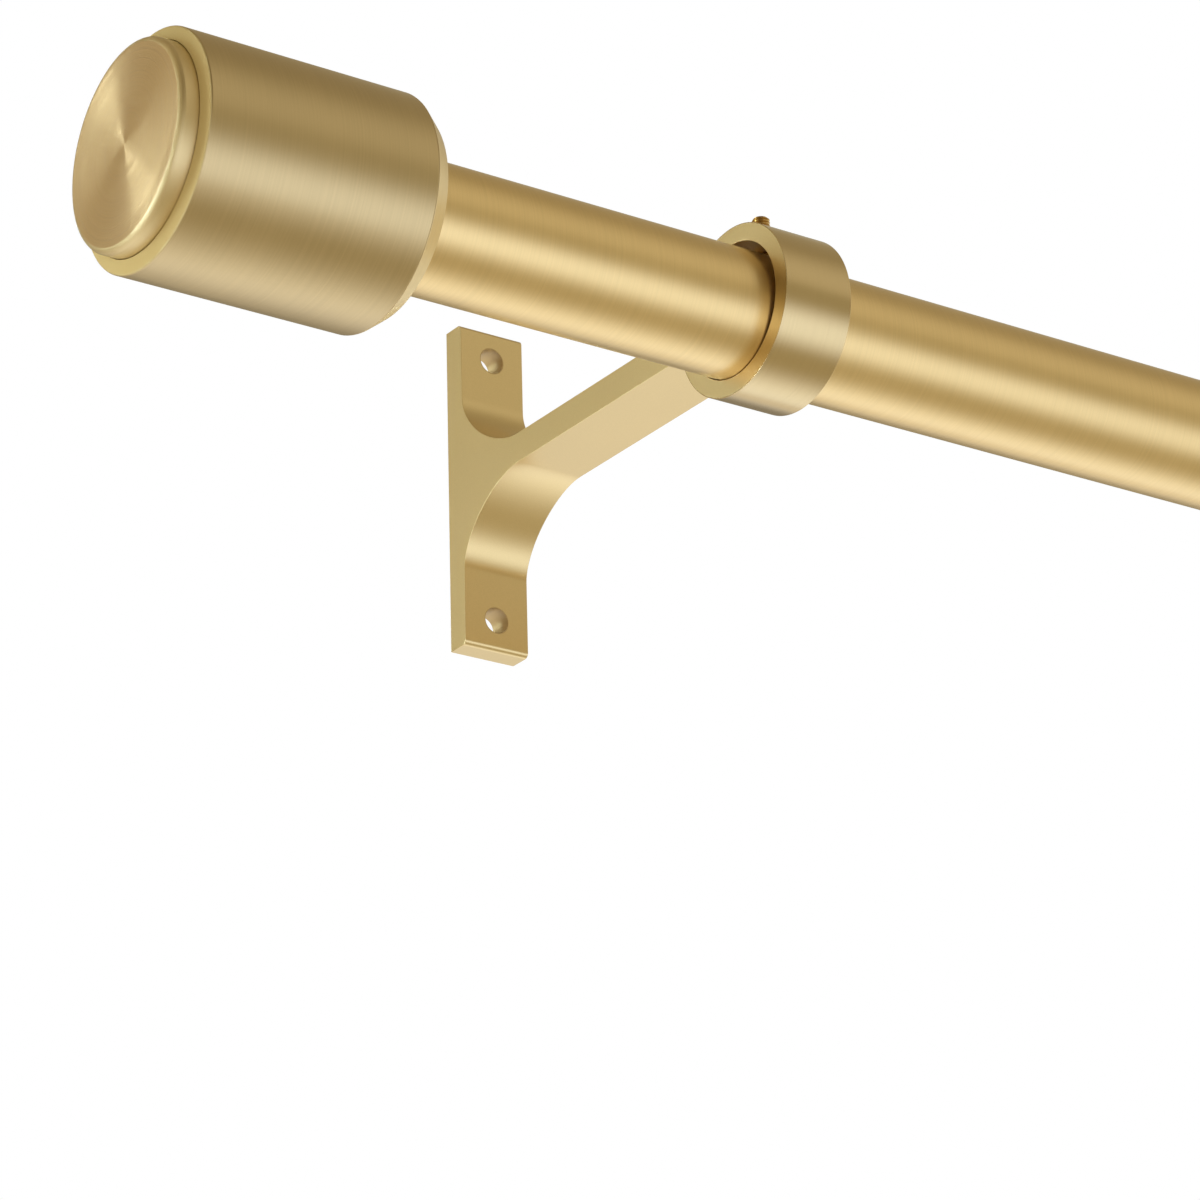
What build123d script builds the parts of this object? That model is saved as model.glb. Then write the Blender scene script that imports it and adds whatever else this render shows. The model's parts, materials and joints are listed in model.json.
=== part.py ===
"""Extendable curtain rod: a thin tube that slides in a thick one, a disc finial on each end,
and two wall brackets whose rings the rod passes through.

Frame, in millimetres: X runs along the rod, Y points into the wall and Z is up. The origin is the
middle of the left bracket's back face, where that bracket meets the wall. The rod is pushed together.
"""

import os

from build123d import *

os.makedirs("parts", exist_ok=True)

# Telescoping tubes
outer_tube_diameter = 25.4
outer_tube_wall = 0.8
outer_tube_length = 610.0
closed_length = 711.2
inner_tube_wall = 0.7
tube_play = 0.8
mouth_clearance = 0.3
mouth_round = 1.0

# Guide bush on the hidden end of the thin tube
bush_head_length = 6.0
bush_stem_length = 16.0
bush_wall = 1.4
bush_clearance = 0.15
bush_to_plug = 1.2

# Wall brackets, each one slice of a single profile
bracket_width = 15.2
wall_to_ring = 99.9
plate_height = 71.5
plate_thickness = 5.5
plate_corner_round = 1.1
arm_thickness = 6.3
gusset_reach = 20.5
gusset_rise = 16.0
gusset_fullness = 0.45
ring_diameter = 34.6
ring_play = 1.0
wall_hole_diameter = 5.5
wall_hole_spacing = 58.3
bracket_edge_break = 0.3
tube_seat_gap = 0.1
finial_to_ring = 77.2
mouth_to_ring = 8.8

# Set screws through the tops of the rings
screw_diameter = 3.5
screw_length = 9.5
screw_tip_diameter = 2.3
screw_tip_length = 0.7
screw_crown_break = 0.35
screw_socket_width = 1.8
screw_socket_depth = 2.4
thread_clearance = 0.05
screw_tip_gap = 0.1

# Finials: a drum shell, a raised round face in front and a conical cap at the back
finial_diameter = 45.6
finial_wall = 1.2
finial_drum_length = 47.8
finial_edge_break = 0.3
shoulder_width = 2.9
shoulder_drop = 0.9
face_height = 3.7
face_round = 1.4
face_gap = 0.1
cap_wall = 1.5
back_cone_length = 3.8
back_cone_drop = 2.95
back_spigot_length = 7.0
boss_diameter = 17.0
boss_length = 15.0

# Studs, nuts and plugs that hold the finials on the tubes
stud_diameter = 8.0
stud_in_boss = 13.0
stud_past_nut = 1.0
stud_end_break = 0.8
nut_width = 13.0
nut_thickness = 6.5
plug_length = 22.0
plug_shoulder = 12.0
plug_hole_clearance = 0.4
seat_clearance = 0.05

# Radii and places that follow from the sizes above
outer_radius = outer_tube_diameter / 2
outer_bore = outer_radius - outer_tube_wall
inner_radius = outer_bore - tube_play
inner_bore = inner_radius - inner_tube_wall
ring_radius = ring_diameter / 2
bore_radius = outer_radius + ring_play
drum_radius = finial_diameter / 2
shell_bore = drum_radius - finial_wall
face_radius = drum_radius - shoulder_width
stud_radius = stud_diameter / 2
stud_hole = stud_radius + thread_clearance
shoulder_at = back_cone_length + finial_drum_length

rod_y = -wall_to_ring
rod_z = outer_radius + tube_seat_gap - bore_radius
right_bracket_z = rod_z + bore_radius - tube_seat_gap - inner_radius
left_end = -(bracket_width / 2 + finial_to_ring)
right_end = left_end + closed_length
mouth_x = left_end + outer_tube_length
right_bracket_x = mouth_x + mouth_to_ring + bracket_width / 2
hidden_end = left_end + plug_length + bush_to_plug + bush_head_length
inner_tube_length = right_end - hidden_end

LEFTWARD = -1
RIGHTWARD = 1


def lathe_plane(start_x, direction):
    """Plane for a turned profile: X runs along the rod from start_x, and Y is the radius."""
    return Plane(origin=(start_x, rod_y, rod_z), x_dir=(direction, 0, 0), z_dir=(0, -direction, 0))


def cross_plane(start_x, direction):
    """Plane square to the rod at start_x that faces along the rod."""
    return Plane(origin=(start_x, rod_y, rod_z), x_dir=(0, 1, 0), z_dir=(direction, 0, 0))


def rod_axis(plane):
    """The rod's axis, for turning a profile drawn on a lathe plane."""
    return Axis(plane.origin, plane.x_dir)


def write_piece(piece, node):
    """Name a finished piece after its node and write it."""
    piece.part.label = node
    export_step(piece.part, f"parts/{node}.step")


def make_outer_tube():
    """Thick tube, with its mouth rolled in to guide the thin one."""
    plane = lathe_plane(left_end, RIGHTWARD)
    lip_bore = inner_radius + mouth_clearance
    lip_start = outer_tube_length - outer_tube_wall
    with BuildPart() as outer_tube:
        with BuildSketch(plane) as wall:
            with BuildLine():
                Polyline(
                    (0, outer_bore),
                    (0, outer_radius),
                    (outer_tube_length, outer_radius),
                    (outer_tube_length, lip_bore),
                    (lip_start, lip_bore),
                    (lip_start, outer_bore),
                    close=True,
                )
            make_face()
            fillet(wall.vertices().group_by(Axis.X)[-1].sort_by(Axis.Y)[-1], mouth_round)
        revolve(axis=rod_axis(plane))
    write_piece(outer_tube, "outer_tube")


def make_inner_tube():
    """Thin tube that slides out of the thick one."""
    with BuildPart() as inner_tube:
        with BuildSketch(cross_plane(right_end, LEFTWARD)):
            Circle(inner_radius)
            Circle(inner_bore, mode=Mode.SUBTRACT)
        extrude(amount=inner_tube_length)
    write_piece(inner_tube, "inner_tube")


def make_guide_bush():
    """Moulded bush whose stem plugs the thin tube and whose head rides in the thick tube's bore."""
    plane = lathe_plane(hidden_end, LEFTWARD)
    head_radius = outer_bore - bush_clearance
    stem_radius = inner_bore - seat_clearance
    hole_radius = stem_radius - bush_wall
    with BuildPart() as guide_bush:
        with BuildSketch(plane) as section:
            with BuildLine():
                Polyline(
                    (-bush_stem_length, hole_radius),
                    (-bush_stem_length, stem_radius),
                    (0, stem_radius),
                    (0, head_radius),
                    (bush_head_length, head_radius),
                    (bush_head_length, hole_radius),
                    close=True,
                )
            make_face()
            chamfer(section.vertices().group_by(Axis.X)[-1].sort_by(Axis.Y)[-1], bush_wall / 2)
            chamfer(section.vertices().group_by(Axis.X)[0].sort_by(Axis.Y)[-1], bush_wall / 2)
        revolve(axis=rod_axis(plane))
    write_piece(guide_bush, "guide_bush")


def make_tube_plug(node, end_x, outward, tube_bore):
    """Moulded plug in a tube's end, with a six-sided pocket that stops the nut from turning."""
    plane = lathe_plane(end_x, -outward)
    plug_radius = tube_bore - seat_clearance
    with BuildPart() as plug:
        with BuildSketch(plane):
            with Locations((plug_length / 2, plug_radius / 2)):
                Rectangle(plug_length, plug_radius)
        revolve(axis=rod_axis(plane))
        with BuildSketch(cross_plane(end_x, -outward)):
            Circle(stud_radius + plug_hole_clearance)
        extrude(amount=plug_length, mode=Mode.SUBTRACT)
        with BuildSketch(cross_plane(end_x, -outward).offset(plug_shoulder)):
            RegularPolygon(nut_width / 2 + seat_clearance, 6, major_radius=False)
        extrude(amount=plug_length - plug_shoulder, mode=Mode.SUBTRACT)
    write_piece(plug, node)


def make_plug_nut(node, end_x, outward):
    """Six-sided nut that the finial's stud draws against the plug's shoulder."""
    with BuildPart() as nut:
        with BuildSketch(cross_plane(end_x, -outward).offset(plug_shoulder)):
            RegularPolygon(nut_width / 2, 6, major_radius=False)
            Circle(stud_hole, mode=Mode.SUBTRACT)
        extrude(amount=nut_thickness)
    write_piece(nut, node)


def make_bracket(node, centre_x, centre_z):
    """Wall plate, arm and ring as one slice of a profile, with its holes drilled afterwards."""
    side = Plane(origin=(centre_x, 0, centre_z), x_dir=(0, 1, 0), z_dir=(1, 0, 0))
    front = Plane(origin=(centre_x, -plate_thickness, centre_z), x_dir=(1, 0, 0), z_dir=(0, -1, 0))
    ring_top = Plane(origin=(centre_x, rod_y, centre_z))
    arm_length = wall_to_ring - plate_thickness
    corner = Vector(-plate_thickness, arm_thickness / 2)
    on_plate = corner + Vector(0, gusset_rise)
    on_arm = corner - Vector(gusset_reach, 0)
    with BuildPart() as bracket:
        with BuildSketch(side) as profile:
            with BuildLine():
                Bezier(
                    on_plate,
                    on_plate - Vector(0, gusset_fullness * gusset_rise),
                    on_arm + Vector(gusset_fullness * gusset_reach, 0),
                    on_arm,
                )
                Polyline(on_arm, corner, on_plate)
            make_face()
            mirror(about=Plane.XZ)
            with Locations((-plate_thickness / 2, 0)):
                Rectangle(plate_thickness, plate_height)
            with Locations((-plate_thickness - arm_length / 2, 0)):
                Rectangle(arm_length, arm_thickness)
            plate_corners = [profile.vertices().group_by(Axis.Y)[end].sort_by(Axis.X)[0] for end in (0, -1)]
            fillet(plate_corners, plate_corner_round)
            with Locations((-wall_to_ring, 0)):
                Circle(ring_radius)
                Circle(bore_radius, mode=Mode.SUBTRACT)
        extrude(amount=bracket_width / 2, both=True)
        chamfer(bracket.faces().filter_by(Axis.X).edges(), bracket_edge_break)
        with BuildSketch(front):
            with GridLocations(0, wall_hole_spacing, 1, 2):
                Circle(wall_hole_diameter / 2)
        extrude(amount=-plate_thickness, mode=Mode.SUBTRACT)
        with BuildSketch(ring_top):
            Circle(screw_diameter / 2 + thread_clearance)
        extrude(amount=ring_diameter, mode=Mode.SUBTRACT)
    write_piece(bracket, node)


def make_set_screw(node, centre_x, tube_radius):
    """Headless screw with a six-sided socket, its point on the top of the tube."""
    tip_z = rod_z + tube_radius + screw_tip_gap
    foot = Plane(origin=(centre_x, rod_y, tip_z), x_dir=(1, 0, 0), z_dir=(0, -1, 0))
    crown = Plane(origin=(centre_x, rod_y, tip_z + screw_length))
    screw_radius = screw_diameter / 2
    with BuildPart() as screw:
        with BuildSketch(foot) as section:
            with BuildLine():
                Polyline(
                    (0, 0),
                    (screw_tip_diameter / 2, 0),
                    (screw_radius, screw_tip_length),
                    (screw_radius, screw_length),
                    (0, screw_length),
                    close=True,
                )
            make_face()
            chamfer(section.vertices().group_by(Axis.Y)[-1].sort_by(Axis.X)[-1], screw_crown_break)
        revolve(axis=Axis(foot.origin, foot.y_dir))
        with BuildSketch(crown):
            RegularPolygon(screw_socket_width / 2, 6, major_radius=False)
        extrude(amount=-screw_socket_depth, mode=Mode.SUBTRACT)
    write_piece(screw, node)


def make_finial_shell(node, end_x, outward):
    """Drum of the finial, open at the back, with a sloped lip in front that frames the raised face."""
    plane = lathe_plane(end_x, outward)
    lip_radius = face_radius + face_gap
    with BuildPart() as shell:
        with BuildSketch(plane) as wall:
            with BuildLine():
                Polyline(
                    (back_cone_length, shell_bore),
                    (back_cone_length, drum_radius),
                    (shoulder_at - shoulder_drop, drum_radius),
                    (shoulder_at, lip_radius),
                    (shoulder_at - finial_wall, lip_radius),
                    (shoulder_at - finial_wall, shell_bore),
                    close=True,
                )
            make_face()
            chamfer(wall.vertices().group_by(Axis.Y)[-1].sort_by(Axis.X)[-1], finial_edge_break)
        revolve(axis=rod_axis(plane))
    write_piece(shell, node)


def make_finial_face(node, end_x, outward):
    """Raised round face: a pressed cup whose flange sits behind the shell's lip."""
    plane = lathe_plane(end_x, outward)
    flange_front = shoulder_at - finial_wall
    flange_back = flange_front - cap_wall
    front = shoulder_at + face_height
    with BuildPart() as face:
        with BuildSketch(plane) as wall:
            with BuildLine():
                Polyline(
                    (flange_back, face_radius - cap_wall),
                    (flange_back, shell_bore - seat_clearance),
                    (flange_front, shell_bore - seat_clearance),
                    (flange_front, face_radius),
                    (front, face_radius),
                    (front, 0),
                    (front - cap_wall, 0),
                    (front - cap_wall, face_radius - cap_wall),
                    close=True,
                )
            make_face()
            fillet(wall.vertices().group_by(Axis.X)[-1].sort_by(Axis.Y)[-1], face_round)
        revolve(axis=rod_axis(plane))
    write_piece(face, node)


def make_finial_back(node, end_x, outward):
    """Conical back cap: a spigot centres it in the shell, and its boss takes the stud."""
    plane = lathe_plane(end_x, outward)
    spigot_radius = shell_bore - seat_clearance
    spigot_end = back_cone_length + back_spigot_length
    with BuildPart() as back:
        with BuildSketch(plane):
            with BuildLine():
                Polyline(
                    (0, stud_hole),
                    (0, drum_radius - back_cone_drop),
                    (back_cone_length, drum_radius),
                    (back_cone_length, spigot_radius),
                    (spigot_end, spigot_radius),
                    (spigot_end, spigot_radius - cap_wall),
                    (back_cone_length, spigot_radius - cap_wall),
                    (back_cone_length, boss_diameter / 2),
                    (boss_length, boss_diameter / 2),
                    (boss_length, stud_hole),
                    close=True,
                )
            make_face()
        revolve(axis=rod_axis(plane))
    write_piece(back, node)


def make_finial_stud(node, end_x, outward):
    """Stud that runs from the finial's boss, through the plug, into the plug's nut."""
    inner_reach = plug_shoulder + nut_thickness + stud_past_nut
    with BuildPart() as stud:
        with BuildSketch(cross_plane(end_x - outward * inner_reach, outward)):
            Circle(stud_radius)
        extrude(amount=inner_reach + stud_in_boss)
        chamfer(stud.faces().filter_by(Axis.X).edges(), stud_end_break)
    write_piece(stud, node)


make_outer_tube()
make_inner_tube()
make_guide_bush()

for tube, end_x, outward, tube_bore in (
    ("outer", left_end, LEFTWARD, outer_bore),
    ("inner", right_end, RIGHTWARD, inner_bore),
):
    make_tube_plug(f"{tube}_tube_plug", end_x, outward, tube_bore)
    make_plug_nut(f"{tube}_plug_nut", end_x, outward)

for side, end_x, outward in (("left", left_end, LEFTWARD), ("right", right_end, RIGHTWARD)):
    make_finial_shell(f"{side}_finial_shell", end_x, outward)
    make_finial_face(f"{side}_finial_face", end_x, outward)
    make_finial_back(f"{side}_finial_back", end_x, outward)
    make_finial_stud(f"{side}_finial_stud", end_x, outward)

for side, bracket_x, bracket_z, tube_radius in (
    ("left", 0, 0, outer_radius),
    ("right", right_bracket_x, right_bracket_z, inner_radius),
):
    make_bracket(f"{side}_bracket", bracket_x, bracket_z)
    make_set_screw(f"{side}_set_screw", bracket_x, tube_radius)
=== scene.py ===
# %% [markdown]
# # An extendable curtain rod in brushed brass
# A thin tube slides in a thick one, a drum-shaped finial closes each end, and two wall brackets carry
# the rod in their rings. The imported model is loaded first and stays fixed, because it says where every
# piece sits and what moves. The surfaces that show are then modelled again, with finer curves and softer
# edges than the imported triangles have, and each finish is built from nodes.

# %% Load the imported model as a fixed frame
import json
import math

import bpy
from mathutils import Matrix, Vector
from mathutils.geometry import interpolate_bezier


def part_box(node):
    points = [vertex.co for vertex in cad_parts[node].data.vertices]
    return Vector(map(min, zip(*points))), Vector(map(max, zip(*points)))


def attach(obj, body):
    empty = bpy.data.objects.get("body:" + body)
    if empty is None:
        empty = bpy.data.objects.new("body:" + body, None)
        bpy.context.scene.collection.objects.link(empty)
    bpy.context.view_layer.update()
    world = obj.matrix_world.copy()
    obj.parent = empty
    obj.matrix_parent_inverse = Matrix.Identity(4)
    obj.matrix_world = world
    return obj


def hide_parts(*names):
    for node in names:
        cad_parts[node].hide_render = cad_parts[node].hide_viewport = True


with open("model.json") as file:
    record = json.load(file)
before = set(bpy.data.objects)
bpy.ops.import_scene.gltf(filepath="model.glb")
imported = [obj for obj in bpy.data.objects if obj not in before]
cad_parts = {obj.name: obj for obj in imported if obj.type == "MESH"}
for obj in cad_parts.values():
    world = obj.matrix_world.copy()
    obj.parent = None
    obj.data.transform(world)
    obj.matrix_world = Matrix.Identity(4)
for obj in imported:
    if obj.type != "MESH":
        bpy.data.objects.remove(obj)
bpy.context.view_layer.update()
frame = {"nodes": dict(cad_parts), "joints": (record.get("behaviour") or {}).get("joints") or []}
MM = 0.001
print("nodes:", len(frame["nodes"]))

# %% [markdown]
# ## Where the rod lies
# The places along the rod come from the frame. The rod rests on the bottom of the left ring, so its axis
# lies a little below the ring's middle, by the play in the ring less the gap that is left under the tube.

# %% Places that the pieces share
tube_radius = 12.7 * MM
ring_bore = 13.7 * MM
tube_seat_gap = 0.1 * MM
left_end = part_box("outer_tube")[0].x
mouth_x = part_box("outer_tube")[1].x
hidden_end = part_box("inner_tube")[0].x
right_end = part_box("inner_tube")[1].x
rod_middle = (left_end + right_end) / 2
left_screw_joint = next(joint for joint in frame["joints"] if joint["name"] == "left_screw_turn")
rod_y = left_screw_joint["pos_m"][1]
rod_z = tube_radius + tube_seat_gap - ring_bore
print(f"rod from {left_end:.4f} to {right_end:.4f} m, axis at y {rod_y:.4f}, z {rod_z:.4f}")

# %% [markdown]
# ## Camera
# The picture is taken from the left, in front and below, with a long lens. The turn, the rise and the roll
# were found by fitting the edges of the ring, the plate and the finial, so they are given closely. A camera
# that is told to look at a point can't roll, so its three directions are worked out and set as a matrix.

# %% Stand the camera where the photographer stood
camera_place = Vector((-518.566, -781.812, -410.491)) * MM
camera_turn = math.radians(35.0403)
camera_rise = math.radians(-22.4291)
camera_roll = math.radians(-1.5934)
camera_lens = 148.5755

away = Vector((
    -math.sin(camera_turn) * math.cos(camera_rise),
    -math.cos(camera_turn) * math.cos(camera_rise),
    math.sin(camera_rise),
))
level = Vector((math.cos(camera_turn), -math.sin(camera_turn), 0))
upright = away.cross(level)
camera_right = math.cos(camera_roll) * level + math.sin(camera_roll) * upright
camera_up = away.cross(camera_right)

bpy.ops.object.select_all(action="DESELECT")
bpy.ops.object.camera_add()
camera = bpy.context.object
camera.matrix_world = Matrix((
    (camera_right.x, camera_up.x, away.x, camera_place.x),
    (camera_right.y, camera_up.y, away.y, camera_place.y),
    (camera_right.z, camera_up.z, away.z, camera_place.z),
    (0, 0, 0, 1),
))
camera.data.lens = camera_lens
bpy.context.scene.camera = camera
bpy.context.scene.view_settings.view_transform = "Standard"
print("camera stands", round(camera_place.length, 3), "m from the wall plate")

# %% [markdown]
# ## Writing shader maths as sums
# A finish is easier to read as arithmetic than as a web of links. `Shade` wraps one output socket, and
# using it in a sum adds a Math node. `NodeSheet.node` adds any other node: its settings are set first, and
# then each of its sockets gets a value or a link. The nodes that every finish needs have a short name each.


# %% A socket that does sums
class Shade:
    """One output socket of a node tree, which adds Math nodes when it is used in a sum."""

    def __init__(self, sheet, socket):
        self.sheet = sheet
        self.socket = socket

    def __add__(self, other):
        return self.sheet.sum("ADD", self, other)

    def __radd__(self, other):
        return self.sheet.sum("ADD", other, self)

    def __sub__(self, other):
        return self.sheet.sum("SUBTRACT", self, other)

    def __rsub__(self, other):
        return self.sheet.sum("SUBTRACT", other, self)

    def __mul__(self, other):
        return self.sheet.sum("MULTIPLY", self, other)

    def __rmul__(self, other):
        return self.sheet.sum("MULTIPLY", other, self)


# %% A sheet of nodes
class NodeSheet:
    """The node tree of a material or of the world, cleared and ready to be written."""

    def __init__(self, owner):
        owner.use_nodes = True
        self.tree = owner.node_tree
        self.tree.nodes.clear()

    def node(self, kind, settings=None, values=None, output=0):
        """Add a node with these settings and socket values, and give one of its outputs."""
        made = self.tree.nodes.new(kind)
        for key, value in (settings or {}).items():
            setattr(made, key, value)
        for key, value in (values or {}).items():
            if isinstance(value, Shade):
                self.tree.links.new(value.socket, made.inputs[key])
            else:
                made.inputs[key].default_value = value
        return Shade(self, made.outputs[output]) if made.outputs else None

    def sum(self, operation, *terms):
        """A Math node on these terms, which are numbers or sockets."""
        return self.node("ShaderNodeMath", {"operation": operation}, dict(enumerate(terms)))

    def vector(self, operation, *terms, output=0):
        """The same for places. The output called Value is a plain number."""
        return self.node("ShaderNodeVectorMath", {"operation": operation}, dict(enumerate(terms)), output)

    def object_place(self):
        """Where a point lies in its object, which stays with the piece when it moves."""
        return self.node("ShaderNodeTexCoord", None, None, output="Object")

    def part_of(self, place, axis):
        """One coordinate of a place."""
        return self.node("ShaderNodeSeparateXYZ", None, {0: place}, output=axis)

    def step_up(self, value, low, high):
        """0 below low, 1 above high and a smooth rise between them."""
        ends = {"Value": value, "From Min": low, "From Max": high}
        return self.node("ShaderNodeMapRange", {"interpolation_type": "SMOOTHSTEP"}, ends)

    def mix(self, factor, first, second):
        """A colour between two colours, which the Mix node takes in its sockets 6 and 7."""
        return self.node("ShaderNodeMix", {"data_type": "RGBA"}, {0: factor, 6: first, 7: second}, output=2)

    def grain(self, where, density, detail=2.0):
        """Noise with this many grains to the metre along each axis."""
        spot = self.vector("MULTIPLY", where, density)
        return self.node("ShaderNodeTexNoise", None, {"Vector": spot, "Scale": 1.0, "Detail": detail})

    def bump(self, relief, depth):
        """Normals for a relief that is this deep."""
        return self.node("ShaderNodeBump", None, {"Height": relief, "Strength": 1.0, "Distance": depth})

    def finish(self, surface, socket="Surface", kind="ShaderNodeOutputMaterial"):
        self.node(kind, None, {socket: surface})


# %% [markdown]
# ## Light tent
# Brushed metal has little colour of its own: it shows the room. Lamps alone would draw small glints on it,
# so the rod hangs in a light tent, as shiny goods do when they are photographed. The tent is a long cylinder
# of warm cloth round the rod, and only reflections see it. Its roof is dark, and two lit panels run along
# the rod, low in front and low behind, which draw the two bright bands that a round tube shows. A third lit
# panel, at the far left, makes the bright fans on the finial's turned face. The world is white, so the
# picture's ground is white, and the floor lies far below the rod, as it does under a window.


# %% Pale floor, white world and one soft lamp
floor_depth = -2.0
floor_span = 30.0
floor_colour = (0.86, 0.85, 0.83, 1)
soft_level = 0.7
lamp_height = 2.5
lamp_span = 2.0
lamp_power = 60.0


def make_floor():
    """A pale floor, far below the rod."""
    bpy.ops.object.select_all(action="DESELECT")
    bpy.ops.mesh.primitive_plane_add(size=floor_span, location=(0, 0, floor_depth))
    floor = bpy.context.object
    floor.name = "floor"
    paint = bpy.data.materials.new("floor_paint")
    sheet = NodeSheet(paint)
    sheet.finish(sheet.node("ShaderNodeBsdfDiffuse", None, {"Color": floor_colour}))
    floor.data.materials.append(paint)


def make_world():
    """A white room, at full strength to the camera and in reflections, and softer as light on matt things."""
    world = bpy.data.worlds.new("white_room")
    bpy.context.scene.world = world
    sheet = NodeSheet(world)
    seen = [sheet.node("ShaderNodeLightPath", None, None, output=ray)
            for ray in ("Is Camera Ray", "Is Glossy Ray", "Is Transmission Ray")]
    direct = sheet.sum("MINIMUM", seen[0] + seen[1] + seen[2], 1.0)
    strength = soft_level + (1.0 - soft_level) * direct
    light = sheet.node("ShaderNodeBackground", None, {"Color": (1, 1, 1, 1), "Strength": strength})
    sheet.finish(light, kind="ShaderNodeOutputWorld")


def make_lamp():
    """A soft lamp overhead for the floor and the mouldings: the brass takes its light from the tent."""
    bpy.ops.object.select_all(action="DESELECT")
    bpy.ops.object.light_add(type="AREA", location=(0, rod_y, lamp_height))
    lamp = bpy.context.object
    lamp.name = "soft_lamp"
    lamp.data.size = lamp_span
    lamp.data.energy = lamp_power
    lamp.visible_glossy = False


make_floor()
make_world()
make_lamp()
print("floor at", floor_depth, "m, lamp at", lamp_height, "m")

# %% Tent cloth that is painted panel by panel


class TentCloth(NodeSheet):
    """Glowing cloth. Its panels are placed by the angle round the rod and by the distance along it.

    The angle is 0 straight out of the wall, and 90 degrees overhead.
    """

    def __init__(self, name, colour):
        self.material = bpy.data.materials.new(name)
        super().__init__(self.material)
        place = self.object_place()
        self.along, y, z = (self.part_of(place, axis) for axis in "XYZ")
        self.angle = self.sum("ARCTAN2", z - rod_z, rod_y - y)
        self.colour = colour + (1,)

    def panel(self, colour, middle, half_width, soft_edge, grows=None):
        """Paint a panel over the cloth. It has half its strength at half_width from its middle, in degrees.

        If it grows along the rod, grows says where it is gone and where it is whole.
        """
        apart = self.sum("WRAP", self.angle - math.radians(middle), math.pi, -math.pi)
        low, high = (math.radians(half_width + share * soft_edge) for share in (-0.5, 0.5))
        cover = 1.0 - self.step_up(self.sum("ABSOLUTE", apart), low, high)
        if grows:
            cover = cover * self.step_up(self.along, *grows)
        self.colour = self.mix(cover, self.colour, colour + (1,))

    def sew(self):
        """Let the painted cloth glow, and give its material."""
        self.finish(self.node("ShaderNodeEmission", None, {"Color": self.colour, "Strength": 1.0}))
        return self.material


# %% Paint the panels
tent_colour = (0.46, 0.38, 0.225)

# Each panel has a colour, a middle, a half width and a soft edge in degrees, and where along the rod it is
# gone and where it is whole. A later panel covers an earlier one.
tent_panels = [
    # roof, and front above the rod
    ((0.40, 0.325, 0.19), 108, 36, 36, None),
    ((0.70, 0.62, 0.45), 42, 22, 40, None),
    ((0.18, 0.135, 0.07), 30, 45, 40, (0.3, -0.4)),
    ((0.46, 0.39, 0.24), 8, 17, 10, None),
    # behind the rod
    ((0.90, 0.86, 0.72), 178, 42, 40, None),
    ((0.26, 0.22, 0.15), 178, 42, 40, (2.0, 1.4)),
    ((0.505, 0.44, 0.285), 155, 55, 50, (0.3, -0.5)),
    # below the rod: the lit panels behind and in front, and strips that shape them
    ((0.50, 0.42, 0.255), -75, 14, 20, (0.86, 0.95)),
    ((1.32, 1.35, 1.38), -130, 27, 50, (5.0, 0.9)),
    ((0.88, 0.79, 0.63), -153, 8, 12, (0.8, 1.15)),
    ((0.60, 0.52, 0.36), -131, 48, 20, (0.87, 0.74)),
    ((1.26, 1.24, 1.18), -131, 20, 50, (0.87, 0.74)),
    ((1.34, 1.41, 1.52), -28.5, 20.7, 32, (3.2, 0.9)),
    ((0.68, 0.58, 0.41), -48, 6, 10, (0.87, 0.74)),
    # roof again, towards the left
    ((0.36, 0.28, 0.15), 115, 25, 30, (0.87, 0.74)),
    ((1.00, 0.90, 0.60), 122, 16, 24, (-0.9, -1.6)),
    # far left, for the fans on the finial's face
    ((6.00, 7.40, 8.00), 166, 20, 40, (-1.7, -2.7)),
    ((14.6, 18.2, 21.0), 175, 9, 28, (-1.9, -2.7)),
    # the tent's left and right ends
    ((0.55, 0.485, 0.315), 180, 180, 1, (-2.8, -3.8)),
    ((0.88, 0.85, 0.70), 0, 180, 1, (2.2, 3.4)),
]
cloth = TentCloth("tent_cloth", tent_colour)
for panel in tent_panels:
    cloth.panel(*panel)
print("tent cloth of", len(tent_panels), "panels")

# %% Hang the tent round the rod
tent_radius = 1.7
tent_reach = 8.0
tent_sides = 96


def make_tent():
    """A cylinder round the rod that only reflections see."""
    bpy.ops.object.select_all(action="DESELECT")
    bpy.ops.mesh.primitive_cylinder_add(
        vertices=tent_sides, radius=tent_radius, depth=tent_reach,
        location=(0, rod_y, rod_z), rotation=(0, math.pi / 2, 0),
    )
    tent = bpy.context.object
    tent.name = "tent"
    bpy.ops.object.transform_apply(location=True, rotation=True, scale=True)
    tent.data.materials.append(cloth.sew())
    tent.visible_camera = False
    tent.visible_diffuse = False
    tent.visible_transmission = False
    tent.visible_shadow = False


make_tent()
print("tent", tent_reach, "m long and", 2 * tent_radius, "m across")

# %% [markdown]
# ## Brass finishes
# All the visible metal is brass-coloured, but the pieces are worked differently. The tubes, the drums and
# the rings are brushed round, so very fine grooves run round them. The finial's face is turned on a lathe,
# so its grooves are circles, and a lamp makes bright fans across them. The bracket is blasted to an even
# satin. A clear lacquer lies over all of it and adds a little white gloss. The grain could come from a
# picture, but noise that is stretched along the grooves stays fine from near and has no seam.

# %% What every brass finish shares
lacquer = 0.6
lacquer_roughness = 0.22
lacquer_ior = 1.5
tone_low = 0.30
tone_high = 0.70
noise_middle = 0.5


def shaded(colour, share):
    """A colour made darker or brighter, as four numbers."""
    return tuple(min(1.0, share * c) for c in colour) + (1,)


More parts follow.
